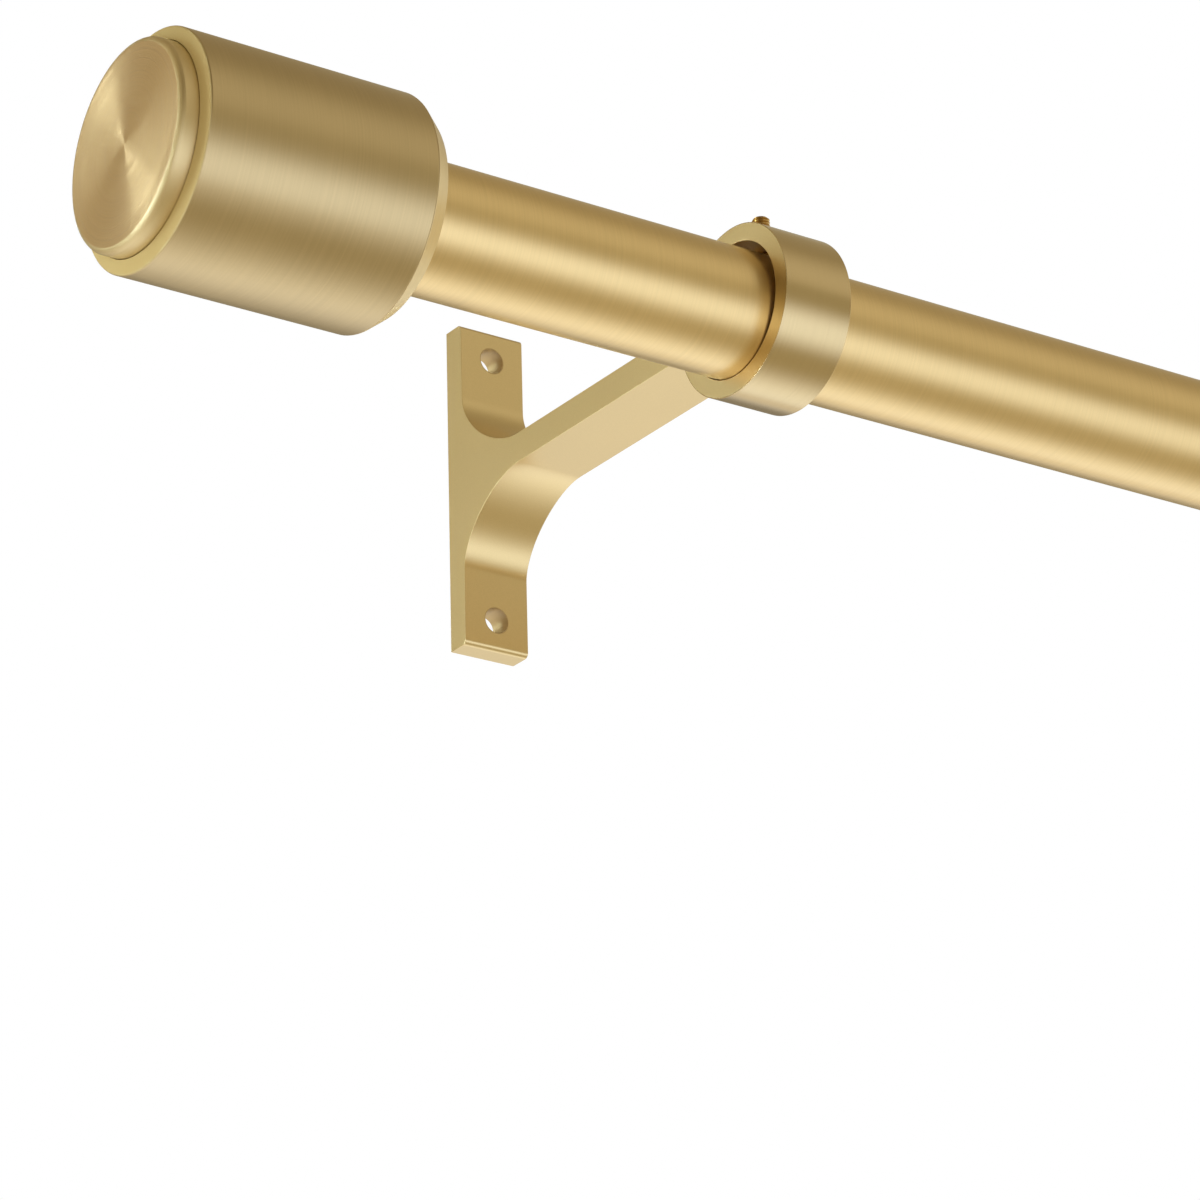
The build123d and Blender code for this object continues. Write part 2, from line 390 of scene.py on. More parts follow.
class Brass(NodeSheet):
    """A brass-coloured finish, built up from grain in its colour, roughness and relief."""

    def __init__(self, name):
        self.material = bpy.data.materials.new(name)
        super().__init__(self.material)
        self.place = self.object_place()

    def from_axis(self):
        """Place measured from the rod's axis."""
        return self.vector("SUBTRACT", self.place, (0, rod_y, rod_z))

    def from_middle(self):
        """Distance along the rod from its middle."""
        return self.sum("ABSOLUTE", self.part_of(self.place, "X") - rod_middle)

    def toned(self, pattern, colour, contrast):
        """The colour, darker where the pattern is low and brighter where it is high."""
        tone = self.step_up(pattern, tone_low, tone_high)
        return self.mix(tone, shaded(colour, 1 - contrast), shaded(colour, 1 + contrast))

    def lay(self, colour, roughness, relief, depth, coat=lacquer):
        """Put the colour, roughness and relief on lacquered metal."""
        metal = self.node("ShaderNodeBsdfPrincipled", None, {
            "Base Color": colour, "Roughness": roughness, "Metallic": 1.0,
            "Normal": self.bump(relief, depth),
            "Coat Weight": coat, "Coat Roughness": lacquer_roughness, "Coat IOR": lacquer_ior,
        })
        self.finish(metal)
        print(self.material.name, "has", len(self.tree.nodes), "nodes")
        return self.material


def swing(noise, size):
    """How far the noise takes a roughness up or down."""
    return size * (noise - noise_middle)


# %% Brushed round, for tubes and cones
line_density = (9000, 40, 40)
streak_density = (2600, 25, 25)
streak_detail = 3.0
streak_relief = 1.6
cloud_density = (60, 40, 40)
streak_share = 0.5
line_share = 0.3
cloud_share = 0.2
brushed_swing = 0.04


class BrushedBrass(Brass):
    """Brass brushed round the rod: fine lines that run far round it and are thin along it."""

    def __init__(self, name):
        super().__init__(name)
        self.lines = self.grain(self.place, line_density)
        self.streaks = self.grain(self.place, streak_density, streak_detail)
        self.clouds = self.grain(self.place, cloud_density)
        self.relief = self.lines + streak_relief * self.streaks

    def lined(self, colour, contrast):
        """The colour with darker and brighter lines."""
        pattern = streak_share * self.streaks + line_share * self.lines + cloud_share * self.clouds
        return self.toned(pattern, colour, contrast)

    def lined_roughness(self, roughness):
        """The roughness with rougher and smoother lines."""
        return roughness + swing(self.streaks, brushed_swing) + swing(self.clouds, brushed_swing)


def brushed_round(name, colour, roughness, contrast, groove_depth):
    """Brushed brass of one colour."""
    sheet = BrushedBrass(name)
    return sheet.lay(
        sheet.lined(colour, contrast), sheet.lined_roughness(roughness), sheet.relief, groove_depth,
    )


tube_brass = brushed_round(
    "tube_brass", colour=(0.78, 0.59, 0.285), roughness=0.34, contrast=0.04, groove_depth=0.004 * MM,
)
cone_brass = brushed_round(
    "cone_brass", colour=(0.78, 0.625, 0.345), roughness=0.46, contrast=0.03, groove_depth=0.004 * MM,
)

# %% [markdown]
# ## Drum and its shoulder
# The drum is brushed like the tubes, and its colour is theirs painted darker, as painted shade. The slope
# between its side and its raised face is matt and paler. A piece of its own could carry that, but on the drum
# it is the same metal, so one finish is used and its nodes change with the distance from the rod's middle.

# %% Brushed drum with a matt shoulder
# The drum's colour is the tubes' brass painted darker: painted shade.
drum_painted_shade_colour = (0.56, 0.435, 0.23)
shoulder_colour = (0.78, 0.645, 0.335)
shoulder_roughness = 0.85
shoulder_drop = 0.9 * MM
shoulder_blend = 0.2 * MM
drum_end = rod_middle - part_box("left_finial_shell")[0].x


def brushed_drum(name, roughness, contrast, groove_depth):
    """Brushed brass, painted darker as painted shade, that is matt on the sloped shoulder round the raised
    face.
    """
    sheet = BrushedBrass(name)
    rim = drum_end - shoulder_drop
    shoulder = sheet.step_up(sheet.from_middle(), rim - shoulder_blend, rim + shoulder_blend)
    colour = sheet.mix(shoulder, sheet.lined(drum_painted_shade_colour, contrast), shoulder_colour + (1,))
    lined = sheet.lined_roughness(roughness)
    rough = lined + shoulder * (shoulder_roughness - lined)
    brushed = 1.0 - shoulder
    return sheet.lay(colour, rough, brushed * sheet.relief, groove_depth, coat=lacquer * brushed)


drum_brass = brushed_drum("drum_brass", roughness=0.32, contrast=0.05, groove_depth=0.006 * MM)

# %% [markdown]
# ## Turned face
# A lathe leaves circles on the finial's face. Brushed lines would run across it, so the noise here depends
# only on the distance from the rod's axis. This relief is the deepest of all, because the slopes of the
# grooves spread the light of the far panel into fans. The wall behind the face is duller.

# %% Turned in circles, for the finial's face
circle_line_density = 12000
circle_line_detail = 1.0
circle_streak_density = 2500
circle_streak_detail = 2.0
circle_line_share = 0.4
circle_streak_share = 0.6
circle_swing = 0.04
face_wall_colour = (0.70, 0.56, 0.30)
face_wall_roughness = 0.42
face_skin = 0.015 * MM
face_blend = 4 * face_skin
face_end = rod_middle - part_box("left_finial_face")[0].x


def turned_in_circles(name, colour, roughness, contrast, groove_depth):
    """Brass faced on a lathe: grooves that are circles about the rod's axis, and a matt wall behind."""
    sheet = Brass(name)
    across = sheet.vector("MULTIPLY", sheet.from_axis(), (0, 1, 1))
    radius = sheet.vector("LENGTH", across, output="Value")

    def circles(density, detail):
        return sheet.node("ShaderNodeTexNoise", {"noise_dimensions": "1D"}, {
            "W": radius * density, "Scale": 1.0, "Detail": detail,
        })

    lines = circles(circle_line_density, circle_line_detail)
    streaks = circles(circle_streak_density, circle_streak_detail)
    turned = sheet.toned(circle_streak_share * streaks + circle_line_share * lines, colour, contrast)
    flat = sheet.step_up(sheet.from_middle(), face_end - face_blend, face_end - face_skin)
    colours = sheet.mix(flat, face_wall_colour + (1,), turned)
    rough = face_wall_roughness + flat * (roughness - face_wall_roughness)
    return sheet.lay(colours, rough + swing(streaks, circle_swing), lines, groove_depth)


face_brass = turned_in_circles(
    "face_brass", colour=(0.645, 0.445, 0.22), roughness=0.30, contrast=0.03, groove_depth=0.05 * MM,
)

# %% [markdown]
# ## Satin bracket
# The bracket is blasted to an even satin, the outside of its ring is brushed, and its bore and its wall
# holes are dull. The bore is also painted lighter, as painted light, and the wall holes darker, as painted
# shade. Four materials would need cuts in the mesh, so one material asks how far each place is from the
# ring's axis and from the holes, and blends the finishes there.

# %% Bracket, blasted all over and brushed on its ring
satin_density = (5200, 5200, 5200)
satin_share = 0.7
satin_cloud_share = 0.3
satin_swing = 0.05
satin_contrast = 0.03
satin_depth = 0.003 * MM
blasted_colour = (0.745, 0.585, 0.30)
blasted_roughness = 0.32
turned_colour = (0.62, 0.485, 0.26)
turned_roughness = 0.22
# The bore's colour is painted lighter than the ring's, as painted light; the wall holes' colour is painted
# darker, as painted shade.
bore_painted_light_colour = (0.80, 0.60, 0.30)
hole_painted_shade_colour = (0.56, 0.41, 0.20)
hole_roughness = 0.5
ring_radius = 17.3 * MM
wall_hole_radius = 2.75 * MM
wall_hole_rise = 29.15 * MM
blend_width = 1.2 * MM
blend_start = 0.1 * blend_width
bore_skin = 0.12 * MM
bore_blend = 2 * bore_skin


def blasted_and_turned(name, shift):
    """Satin brass, smoother and brushed on the ring, and dull inside its bore and its wall holes, with
    painted light in the bore and painted shade in the wall holes.

    The shift is how far the bracket stands from the left one.
    """
    sheet = BrushedBrass(name)
    here = sheet.vector("SUBTRACT", sheet.place, shift)

    def distance(centre, across):
        """How far a place is from an axis through the centre, which runs the way that is left out."""
        return sheet.vector("DISTANCE", sheet.vector("MULTIPLY", here, across), centre, output="Value")

    from_ring = distance((0, rod_y, 0), (0, 1, 1))
    from_hole = sheet.sum("MINIMUM", *(
        distance((0, 0, rise), (1, 0, 1)) for rise in (wall_hole_rise, -wall_hole_rise)
    ))
    blasted = sheet.sum(
        "MAXIMUM",
        sheet.step_up(from_ring, ring_radius + blend_start, ring_radius + blend_width),
        sheet.step_up(from_ring, ring_radius - bore_skin, ring_radius - bore_blend),
    )
    # Where the bore gets its painted light and the wall holes their painted shade; both places are also
    # rougher.
    bored = sheet.step_up(from_ring, ring_bore + bore_blend, ring_bore + bore_skin)
    drilled = sheet.step_up(from_hole, wall_hole_radius + bore_blend, wall_hole_radius + bore_skin)
    fine = sheet.grain(sheet.place, satin_density)
    pattern = satin_share * fine + satin_cloud_share * sheet.clouds
    satin = sheet.toned(pattern, blasted_colour, satin_contrast)
    finished = sheet.mix(blasted, sheet.lined(turned_colour, satin_contrast), satin)
    with_bore_painted_light = sheet.mix(bored, finished, bore_painted_light_colour + (1,))
    colour = sheet.mix(drilled, with_bore_painted_light, hole_painted_shade_colour + (1,))
    smooth = turned_roughness + (blasted_roughness - turned_roughness) * blasted
    roughness = smooth + sheet.sum("MAXIMUM", bored, drilled) * (hole_roughness - smooth)
    relief = sheet.relief + (fine - sheet.relief) * blasted
    return sheet.lay(colour, roughness + swing(sheet.clouds, satin_swing), relief, satin_depth)


right_bracket_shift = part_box("right_bracket")[0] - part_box("left_bracket")[0]
left_bracket_brass = blasted_and_turned("left_bracket_brass", (0, 0, 0))
right_bracket_brass = blasted_and_turned("right_bracket_brass", right_bracket_shift)

# %% [markdown]
# ## Screws and hidden pieces
# The set screws are plated and a little darker than the rings. Nuts and studs are zinc plated, and the plugs
# and the bush are moulded. They are seen only when the rod is taken apart, so they share one simple recipe.

# %% Plated screws
plated_swing = 0.06


def plated(name, colour, roughness, contrast, grain_depth):
    """Brass plate on a machined screw, with a fine even grain."""
    sheet = Brass(name)
    fine = sheet.grain(sheet.place, satin_density)
    colours = sheet.toned(fine, colour, contrast)
    return sheet.lay(colours, roughness + swing(fine, plated_swing), fine, grain_depth)


screw_brass = plated(
    "screw_brass", colour=(0.62, 0.43, 0.17), roughness=0.24, contrast=0.06, grain_depth=0.002 * MM,
)

# %% Zinc and moulded plastic, for what the tubes hide
speck_density = (2600, 2600, 2600)
speck_detail = 3.0
speck_low = 0.35
speck_high = 0.65
speck_swing = 0.15


def hidden_finish(name, dark, pale, metallic, roughness, grain_depth):
    """A speckled finish for the fasteners and mouldings inside the rod."""
    material = bpy.data.materials.new(name)
    sheet = NodeSheet(material)
    specks = sheet.grain(sheet.object_place(), speck_density, speck_detail)
    body = sheet.node("ShaderNodeBsdfPrincipled", None, {
        "Base Color": sheet.mix(sheet.step_up(specks, speck_low, speck_high), dark, pale),
        "Roughness": roughness + swing(specks, speck_swing), "Metallic": metallic,
        "Normal": sheet.bump(specks, grain_depth),
    })
    sheet.finish(body)
    print(name, "has", len(sheet.tree.nodes), "nodes")
    return material


zinc = hidden_finish(
    "zinc", dark=(0.50, 0.50, 0.49, 1), pale=(0.66, 0.66, 0.64, 1),
    metallic=1.0, roughness=0.35, grain_depth=0.004 * MM,
)
moulding = hidden_finish(
    "moulding", dark=(0.010, 0.010, 0.010, 1), pale=(0.020, 0.020, 0.021, 1),
    metallic=0.0, roughness=0.55, grain_depth=0.008 * MM,
)

# %% [markdown]
# ## Turning a piece on a lathe
# Tubes and finials are round. A cylinder could be stretched into place, but it has no wall and no soft
# edges, so each piece starts as half of its section: one vertex is extruded from corner to corner, the
# corners that are softened on the real one are bevelled, and the section is spun round the rod's axis.
# Spinning leaves doubles where the start meets the end, so they are merged before the normals are worked
# out.


# %% Draw a section and round its corners
merge_distance = 0.0005 * MM
round_profile = 0.5


def start_chain(name, point):
    """A new piece that is a single vertex, in edit mode."""
    bpy.ops.object.select_all(action="DESELECT")
    bpy.ops.mesh.primitive_plane_add(size=MM, location=point)
    piece = bpy.context.object
    piece.name = name
    bpy.ops.object.transform_apply(location=True, rotation=True, scale=True)
    bpy.ops.object.mode_set(mode="EDIT")
    bpy.ops.mesh.select_mode(type="VERT")
    bpy.ops.mesh.select_all(action="SELECT")
    bpy.ops.mesh.merge(type="CENTER")
    return piece


def draw_loop(name, points):
    """A closed chain of edges through the points."""
    piece = start_chain(name, points[0])
    for here, there in zip(points, points[1:] + points[:1]):
        bpy.ops.mesh.extrude_region_move(TRANSFORM_OT_translate={"value": there - here})
    bpy.ops.mesh.select_all(action="SELECT")
    bpy.ops.mesh.remove_doubles(threshold=merge_distance)
    return piece


def pick_vertices(piece, wanted):
    """Select the vertices that are wanted, by their place, and leave the piece in edit mode."""
    bpy.ops.mesh.select_mode(type="VERT")
    bpy.ops.mesh.select_all(action="DESELECT")
    bpy.ops.object.mode_set(mode="OBJECT")
    for vertex in piece.data.vertices:
        vertex.select = wanted(vertex.co)
    bpy.ops.object.mode_set(mode="EDIT")


def round_corner(piece, corner, reach, segments):
    """Round one corner of a section, starting this far from it on both sides."""
    pick_vertices(piece, lambda co: (co - corner).length < merge_distance)
    bpy.ops.mesh.bevel(affect="VERTICES", offset=reach, segments=segments, profile=round_profile)


# %% Clean a mesh, and spin a section into one
lathe_steps = 240
smooth_angle = math.radians(32)
large_face_weight = 100


def clean_up():
    """Merge doubles, drop edges without a face and point the faces outwards, then leave edit mode."""
    bpy.ops.mesh.select_all(action="SELECT")
    bpy.ops.mesh.remove_doubles(threshold=merge_distance)
    bpy.ops.mesh.delete_loose(use_faces=False)
    bpy.ops.mesh.select_all(action="SELECT")
    bpy.ops.mesh.normals_make_consistent(inside=False)
    bpy.ops.object.mode_set(mode="OBJECT")
    bpy.ops.object.shade_smooth_by_angle(angle=smooth_angle)


def even_shading(piece):
    """Let the large faces set the normals, so that flats stay flat beside softened edges."""
    weighted = piece.modifiers.new("even_shading", "WEIGHTED_NORMAL")
    weighted.keep_sharp = True
    weighted.weight = large_face_weight
    bpy.ops.object.modifier_apply(modifier=weighted.name)


def turn_on_lathe(name, start_x, outward, section, rounds):
    """Spin a section of (distance outward, radius) corners. Rounds are (corner number, reach, segments)."""
    corners = [Vector((start_x + outward * along, rod_y, rod_z + radius)) for along, radius in section]
    piece = draw_loop(name, corners)
    for number, reach, segments in rounds:
        round_corner(piece, corners[number], reach, segments)
    bpy.ops.mesh.select_all(action="SELECT")
    bpy.ops.mesh.spin(steps=lathe_steps, angle=2 * math.pi, center=(0, rod_y, rod_z), axis=(1, 0, 0))
    clean_up()
    even_shading(piece)
    print(name, len(piece.data.polygons), "faces")
    return piece


# %% [markdown]
# ## Tubes
# The thick tube's mouth is rolled in until it nearly meets the thin tube, which hides the play between
# them. One solid bar would look the same in the picture, but not when the rod is pulled out, so both tubes
# are open inside and have real walls.

# %% Thick tube and thin tube
LEFTWARD = -1
RIGHTWARD = 1
tube_wall = 0.8 * MM
tube_bore = tube_radius - tube_wall
thin_radius = 11.1 * MM
thin_wall = 0.7 * MM
mouth_bore = 11.4 * MM
mouth_round = 1.0 * MM
mouth_segments = 10
edge_break = 0.15 * MM
edge_segments = 3
thick_length = mouth_x - left_end
thin_length = right_end - hidden_end

outer_tube_skin = turn_on_lathe("outer_tube_skin", left_end, RIGHTWARD, [
    (0, tube_bore),
    (0, tube_radius),
    (thick_length, tube_radius),
    (thick_length, mouth_bore),
    (thick_length - tube_wall, mouth_bore),
    (thick_length - tube_wall, tube_bore),
], [(2, mouth_round, mouth_segments), (3, edge_break, edge_segments)])

inner_tube_skin = turn_on_lathe("inner_tube_skin", hidden_end, RIGHTWARD, [
    (0, thin_radius - thin_wall),
    (0, thin_radius),
    (thin_length, thin_radius),
    (thin_length, thin_radius - thin_wall),
], [(1, edge_break, edge_segments)])

# %% [markdown]
# ## Finials
# Each finial is three turned pieces: a drum with a lip in front, a raised face that stands in the lip, and
# a conical cap behind that meets the rod. One section could be spun for all of it, but then the seams
# between the pieces would be missing. They are turned once, on the left, and the right finial is a mirrored
# copy with meshes of its own.

# %% Drum, raised face and back cap
drum_radius = 22.8 * MM
drum_wall = 1.2 * MM
drum_bore = drum_radius - drum_wall
drum_length = 47.8 * MM
drum_edge = 0.3 * MM
drum_edge_segments = 4
seam_edge = 0.22 * MM
face_radius = 19.9 * MM
face_height = 3.7 * MM
face_round = 1.4 * MM
face_segments = 8
face_gap = 0.1 * MM
cap_wall = 1.5 * MM
seat_clearance = 0.05 * MM
cone_length = 3.8 * MM
cone_drop = 2.95 * MM
cone_edge = 2 * edge_break
cone_edge_segments = 4
spigot_length = 7.0 * MM
boss_radius = 8.5 * MM
boss_length = 15.0 * MM
stud_hole = 4.05 * MM

shoulder_at = cone_length + drum_length
lip_back = shoulder_at - drum_wall
face_front = shoulder_at + face_height
lip_radius = face_radius + face_gap
spigot_radius = drum_bore - seat_clearance
spigot_end = cone_length + spigot_length

left_drum = turn_on_lathe("left_finial_drum", left_end, LEFTWARD, [
    (cone_length, drum_bore),
    (cone_length, drum_radius),
    (shoulder_at - shoulder_drop, drum_radius),
    (shoulder_at, lip_radius),
    (lip_back, lip_radius),
    (lip_back, drum_bore),
], [(1, seam_edge, edge_segments), (2, drum_edge, drum_edge_segments), (3, edge_break, edge_segments)])

left_disc = turn_on_lathe("left_finial_disc", left_end, LEFTWARD, [
    (lip_back - cap_wall, face_radius - cap_wall),
    (lip_back - cap_wall, spigot_radius),
    (lip_back, spigot_radius),
    (lip_back, face_radius),
    (face_front, face_radius),
    (face_front, 0),
    (face_front - cap_wall, 0),
    (face_front - cap_wall, face_radius - cap_wall),
], [(4, face_round, face_segments)])

left_cap = turn_on_lathe("left_finial_cap", left_end, LEFTWARD, [
    (0, stud_hole),
    (0, drum_radius - cone_drop),
    (cone_length, drum_radius),
    (cone_length, spigot_radius),
    (spigot_end, spigot_radius),
    (spigot_end, spigot_radius - cap_wall),
    (cone_length, spigot_radius - cap_wall),
    (cone_length, boss_radius),
    (boss_length, boss_radius),
    (boss_length, stud_hole),
], [(1, cone_edge, cone_edge_segments), (2, seam_edge, edge_segments)])

# %% Mirrored copies for the right-hand finial


def own_copy(piece, name):
    """A copy of a piece, with a mesh of its own, left selected and active."""
    bpy.ops.object.select_all(action="DESELECT")
    piece.select_set(True)
    bpy.context.view_layer.objects.active = piece
    bpy.ops.object.duplicate(linked=False)
    copy = bpy.context.object
    copy.name = name
    return copy


def mirror_across_rod(piece, name):
    """A copy of a left-hand piece at the right-hand end."""
    copy = own_copy(piece, name)
    bpy.ops.object.mode_set(mode="EDIT")
    bpy.ops.mesh.select_all(action="SELECT")
    bpy.ops.transform.resize(value=(-1, 1, 1), center_override=(rod_middle, rod_y, rod_z))
    clean_up()
    even_shading(copy)
    return copy


right_drum = mirror_across_rod(left_drum, "right_finial_drum")
right_disc = mirror_across_rod(left_disc, "right_finial_disc")
right_cap = mirror_across_rod(left_cap, "right_finial_cap")
print("right finial reaches", round(max(v.co.x for v in right_disc.data.vertices), 5))

# %% [markdown]
# ## Wall brackets
# A bracket is one slice of a single profile: wall plate, arm and ring, with a swelling curve where the arm
# grows out of the plate. A block, a bar and a ring could be joined, but seams would show where they meet.
# So its outline is drawn once, filled round the ring's bore and extruded to its width. Both sides are then
# inset a little and pushed out in steps, which softens every edge of the slice. The screw holes are drilled
# last, as on the real one.

# %% Outline of the slice
bracket_width = 15.2 * MM
plate_height = 71.5 * MM
plate_thickness = 5.5 * MM
plate_corner_round = 1.1 * MM
arm_half = 3.15 * MM
gusset_reach = 20.5 * MM
gusset_rise = 16.0 * MM
gusset_fullness = 0.45
gusset_points = 26
corner_points = 8
ring_points = 200
slice_edge = 0.1 * MM
edge_steps = 3


def corner_curve():
    """The rounded corner at the top of the plate's front, as (y, z)."""
    middle = Vector((plate_corner_round - plate_thickness, plate_height / 2 - plate_corner_round))
    turns = [math.pi / 2 * (1 + i / corner_points) for i in range(corner_points + 1)]
    return [middle + plate_corner_round * Vector((math.cos(a), math.sin(a))) for a in turns]


def gusset_curve():
    """The curve from the plate's front to the arm's upper edge, as (y, z)."""
    on_plate = Vector((-plate_thickness, arm_half + gusset_rise))
    on_arm = Vector((-plate_thickness - gusset_reach, arm_half))
    leaving = on_plate - Vector((0, gusset_fullness * gusset_rise))
    joining = on_arm + Vector((gusset_fullness * gusset_reach, 0))
    return interpolate_bezier(on_plate, leaving, joining, on_arm, gusset_points)


def ring_curve():
    """The ring's outside, from the arm's upper edge round the front to its lower edge, as (y, z)."""
    meets = math.asin(arm_half / ring_radius)
    turns = [meets + (2 * math.pi - 2 * meets) * i / ring_points for i in range(ring_points + 1)]
    return [Vector((rod_y + ring_radius * math.cos(a), ring_radius * math.sin(a))) for a in turns]


def slice_outline():
    """The whole outline, as (y, z). Its lower half mirrors the upper one."""
    upper = [Vector((0, plate_height / 2))] + corner_curve() + gusset_curve()
    lower = [Vector((p.x, -p.y)) for p in reversed(upper)]
    return upper + ring_curve() + lower


print("slice outline:", len(slice_outline()), "points")

# %% Fill, extrude and soften the slice
side_facing = 0.9


def edge_profile():
    """How far each step goes in and out, for a rounded edge."""
    turns = [math.pi / 2 * i / edge_steps for i in range(edge_steps + 1)]
    places = [(slice_edge * (1 - math.cos(t)), slice_edge * math.sin(t)) for t in turns]
    return [(b[0] - a[0], b[1] - a[1]) for a, b in zip(places, places[1:])]


def pick_side(piece, side):
    """Select the faces that look along the rod to one side."""
    bpy.ops.mesh.select_mode(type="FACE")
    bpy.ops.mesh.select_all(action="DESELECT")
    bpy.ops.object.mode_set(mode="OBJECT")
    outermost = max(side * v.co.x for v in piece.data.vertices)
    for face in piece.data.polygons:
        looks_aside = abs(face.normal.x) > side_facing
        face.select = looks_aside and abs(side * face.center.x - outermost) < merge_distance
    bpy.ops.object.mode_set(mode="EDIT")


def make_bracket(name):
    """The left bracket, in its place on the wall."""
    half_core = bracket_width / 2 - slice_edge
    outline = [Vector((-half_core, p.x, p.y)) for p in slice_outline()]
    piece = draw_loop(name, outline)
    bpy.ops.object.mode_set(mode="OBJECT")
    bpy.ops.object.select_all(action="DESELECT")
    bpy.ops.mesh.primitive_circle_add(
        vertices=ring_points, radius=ring_bore,
        location=(-half_core, rod_y, 0), rotation=(0, math.pi / 2, 0),
    )
    bpy.ops.object.transform_apply(location=True, rotation=True, scale=True)
    piece.select_set(True)
    bpy.context.view_layer.objects.active = piece
    bpy.ops.object.join()
    bpy.ops.object.mode_set(mode="EDIT")
    bpy.ops.mesh.select_all(action="SELECT")
    bpy.ops.mesh.fill(use_beauty=True)
    bpy.ops.mesh.select_all(action="SELECT")
    bpy.ops.mesh.extrude_region_move(TRANSFORM_OT_translate={"value": (2 * half_core, 0, 0)})
    bpy.ops.mesh.select_all(action="SELECT")
    bpy.ops.mesh.normals_make_consistent(inside=False)
    for side in (LEFTWARD, RIGHTWARD):
        for inward, outward in edge_profile():
            pick_side(piece, side)
            bpy.ops.mesh.inset(thickness=inward, depth=outward, use_even_offset=True)
    clean_up()
    return piece


left_slice = make_bracket("left_bracket_slice")
print("bracket slice:", len(left_slice.data.polygons), "faces")

# %% Drill the wall holes and the set screw's hole
drill_sides = 64
screw_hole_radius = 1.8 * MM
overshoot = 2 * MM


def drill(piece, start, direction, radius, depth):
    """Cut a round hole."""
    bpy.ops.object.select_all(action="DESELECT")
    turn = Vector(direction).to_track_quat("Z", "Y").to_euler()
    bpy.ops.mesh.primitive_cylinder_add(
        vertices=drill_sides, radius=radius, depth=depth, rotation=turn,
        location=Vector(start) + Vector(direction) * depth / 2,
    )
    bit = bpy.context.object
    cut(piece, bit, "DIFFERENCE")


def cut(piece, tool, operation):
    """Cut a piece with a tool, which is used up."""
    bpy.ops.object.select_all(action="DESELECT")
    piece.select_set(True)
    bpy.context.view_layer.objects.active = piece
    boolean = piece.modifiers.new("cut", "BOOLEAN")
    boolean.operation = operation
    boolean.solver = "EXACT"
    boolean.object = tool
    bpy.ops.object.modifier_apply(modifier=boolean.name)
    bpy.data.objects.remove(tool)


for rise in (wall_hole_rise, -wall_hole_rise):
    drill(left_slice, (0, overshoot, rise), (0, -1, 0), wall_hole_radius, plate_thickness + 2 * overshoot)
drill(left_slice, (0, rod_y, 0), (0, 0, 1), screw_hole_radius, ring_radius + overshoot)
bpy.ops.object.shade_smooth_by_angle(angle=smooth_angle)
even_shading(left_slice)
print("drilled slice:", len(left_slice.data.polygons), "faces")

# %% Second bracket at the other end


def moved_copy(piece, name, shift):
    """A copy of a piece somewhere else, with its place in its mesh."""
    copy = own_copy(piece, name)
    bpy.ops.transform.translate(value=shift)
    bpy.ops.object.transform_apply(location=True, rotation=True, scale=True)
    return copy


right_slice = moved_copy(left_slice, "right_bracket_slice", right_bracket_shift)
print("right bracket shifted by", [round(c, 4) for c in right_bracket_shift])

# %% [markdown]
# ## Set screws
# A headless screw goes through the top of each ring and pins the rod. Rings stacked on a cylinder would
# look like a thread from afar, but this one is real: one tooth of the section is drawn and a Screw modifier
# winds it upwards. The threaded bar is then trimmed by a blank with a coned point and a bevelled crown, and
# a six-sided socket is sunk for the key.

# %% Wind a threaded bar
screw_low, screw_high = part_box("left_set_screw")
screw_length = screw_high.z - screw_low.z
screw_radius = 1.75 * MM
thread_pitch = 0.6 * MM
thread_depth = 0.36 * MM
thread_steps = 40
tooth_top = 0.38
tooth_top_end = 0.55
tooth_end = 0.93
turns_below = 2
turns_above = 2
trim_margin = 0.5


def threaded_bar(name, foot):
    """A bar with a wound thread, longer than the screw at both ends, and closed there."""
    root = screw_radius - thread_depth
    tooth = [
        (root, 0), (screw_radius, tooth_top), (screw_radius, tooth_top_end), (root, tooth_end), (root, 1),
    ]
    points = [Vector((radius, 0, share * thread_pitch)) for radius, share in tooth]
    bar = start_chain(name, points[0])
    for here, there in zip(points, points[1:]):
        bpy.ops.mesh.extrude_region_move(TRANSFORM_OT_translate={"value": there - here})
    bpy.ops.object.mode_set(mode="OBJECT")
    winding = bar.modifiers.new("winding", "SCREW")
    winding.axis = "Z"
    winding.screw_offset = thread_pitch
    winding.steps = thread_steps
    winding.render_steps = thread_steps
    winding.iterations = turns_below + math.ceil(screw_length / thread_pitch) + turns_above
    bpy.ops.object.modifier_apply(modifier=winding.name)
    bpy.ops.object.mode_set(mode="EDIT")
    bpy.ops.mesh.select_all(action="SELECT")
    bpy.ops.mesh.remove_doubles(threshold=merge_distance)
    bottom = thread_pitch * (turns_below - trim_margin)
    top = thread_pitch * (turns_below + trim_margin) + screw_length
    for height, keep_above in ((bottom, True), (top, False)):
        bpy.ops.mesh.select_all(action="SELECT")
        bpy.ops.mesh.bisect(
            plane_co=(0, 0, height), plane_no=(0, 0, 1), clear_inner=keep_above, clear_outer=not keep_above,
        )
    bpy.ops.mesh.select_all(action="SELECT")
    bpy.ops.mesh.remove_doubles(threshold=merge_distance)
    bpy.ops.mesh.fill_holes(sides=0)
    bpy.ops.mesh.normals_make_consistent(inside=False)
    bpy.ops.transform.translate(value=foot - Vector((0, 0, turns_below * thread_pitch)))
    bpy.ops.object.mode_set(mode="OBJECT")
    return bar


# %% Trim the bar to a blank and sink the socket
blank_steps = 64
tip_radius = 1.15 * MM
tip_length = 0.7 * MM
crown_break = 0.35 * MM
socket_half_width = 0.9 * MM
socket_depth = 2.4 * MM
socket_sides = 6


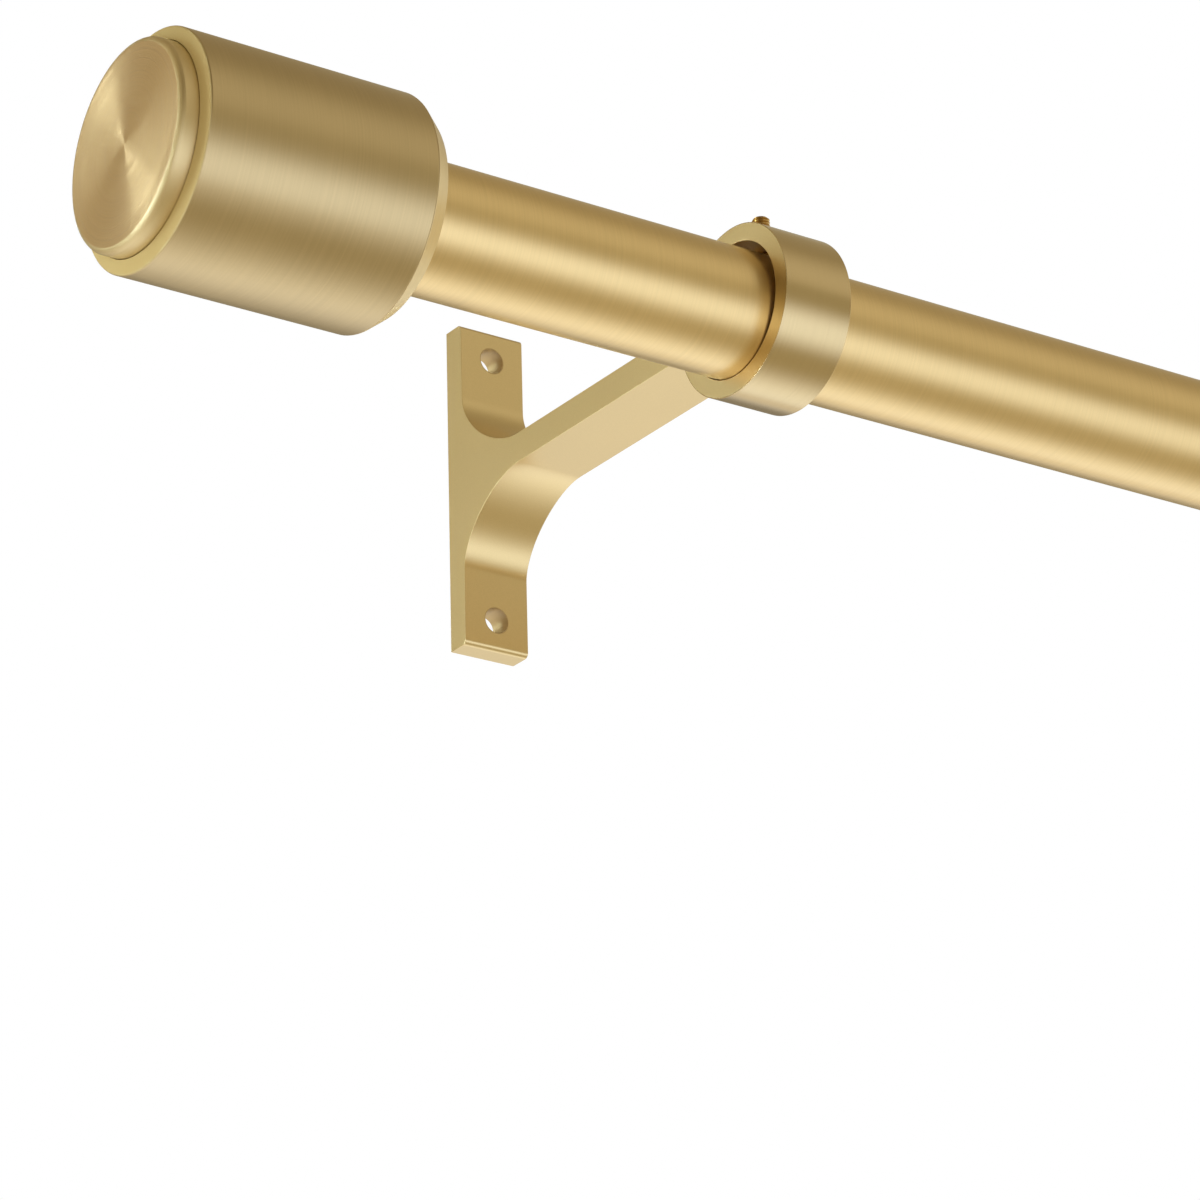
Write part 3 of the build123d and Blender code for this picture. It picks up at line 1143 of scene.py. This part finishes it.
def screw_blank(foot):
    """The screw without its thread, a hair wider than the thread's crests."""
    wide = screw_radius + merge_distance
    section = [
        (0, 0), (tip_radius, 0), (wide, tip_length), (wide, screw_length - crown_break),
        (wide - crown_break, screw_length), (0, screw_length),
    ]
    blank = draw_loop("screw_blank", [foot + Vector((radius, 0, height)) for radius, height in section])
    bpy.ops.mesh.select_all(action="SELECT")
    bpy.ops.mesh.spin(steps=blank_steps, angle=2 * math.pi, center=foot, axis=(0, 0, 1))
    clean_up()
    return blank


def make_screw(name):
    """The left set screw, in its place in the ring."""
    foot = Vector((0, rod_y, screw_low.z))
    screw = threaded_bar(name, foot)
    cut(screw, screw_blank(foot), "INTERSECT")
    bpy.ops.object.select_all(action="DESELECT")
    bpy.ops.mesh.primitive_cylinder_add(
        vertices=socket_sides, radius=socket_half_width / math.cos(math.pi / socket_sides),
        depth=2 * socket_depth, location=foot + Vector((0, 0, screw_length)),
    )
    cut(screw, bpy.context.object, "DIFFERENCE")
    bpy.ops.object.mode_set(mode="EDIT")
    clean_up()
    return screw


left_screw = make_screw("left_screw_threaded")
right_screw_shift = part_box("right_set_screw")[0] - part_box("left_set_screw")[0]
right_screw = moved_copy(left_screw, "right_screw_threaded", right_screw_shift)
print("set screw:", len(left_screw.data.polygons), "faces,", round(screw_length / MM, 2), "mm long")

# %% [markdown]
# ## Finishes on pieces, and who rides on what
# Every new piece stands for one imported node, rides on that node's body and takes the finish that is listed
# beside it. What the tubes hide stays as packed and only gets its finish.

# %% Dress the pieces and hang them on their bodies
dressing = [
    (outer_tube_skin, "outer_rod", "outer_tube", "tube_brass", tube_brass),
    (inner_tube_skin, "inner_rod", "inner_tube", "tube_brass", tube_brass),
    (left_drum, "outer_rod", "left_finial_shell", "finial_brass", drum_brass),
    (right_drum, "inner_rod", "right_finial_shell", "finial_brass", drum_brass),
    (left_disc, "outer_rod", "left_finial_face", "face_brass", face_brass),
    (right_disc, "inner_rod", "right_finial_face", "face_brass", face_brass),
    (left_cap, "outer_rod", "left_finial_back", "finial_brass", cone_brass),
    (right_cap, "inner_rod", "right_finial_back", "finial_brass", cone_brass),
    (left_slice, "left_bracket", "left_bracket", "bracket_brass", left_bracket_brass),
    (right_slice, "right_bracket", "right_bracket", "bracket_brass", right_bracket_brass),
    (left_screw, "left_set_screw", "left_set_screw", "screw_brass", screw_brass),
    (right_screw, "right_set_screw", "right_set_screw", "screw_brass", screw_brass),
]
for piece, body, node, slot, finish in dressing:
    piece.data.materials.clear()
    piece.data.materials.append(finish)
    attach(piece, body)
    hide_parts(node)

hidden_finishes = {"plug_nut": zinc, "finial_stud": zinc, "tube_plug": moulding, "guide_bush": moulding}
for node, shown in frame["nodes"].items():
    for ending, finish in hidden_finishes.items():
        if node.endswith(ending):
            shown.material_slots[0].material = finish
print(len(dressing), "pieces dressed")
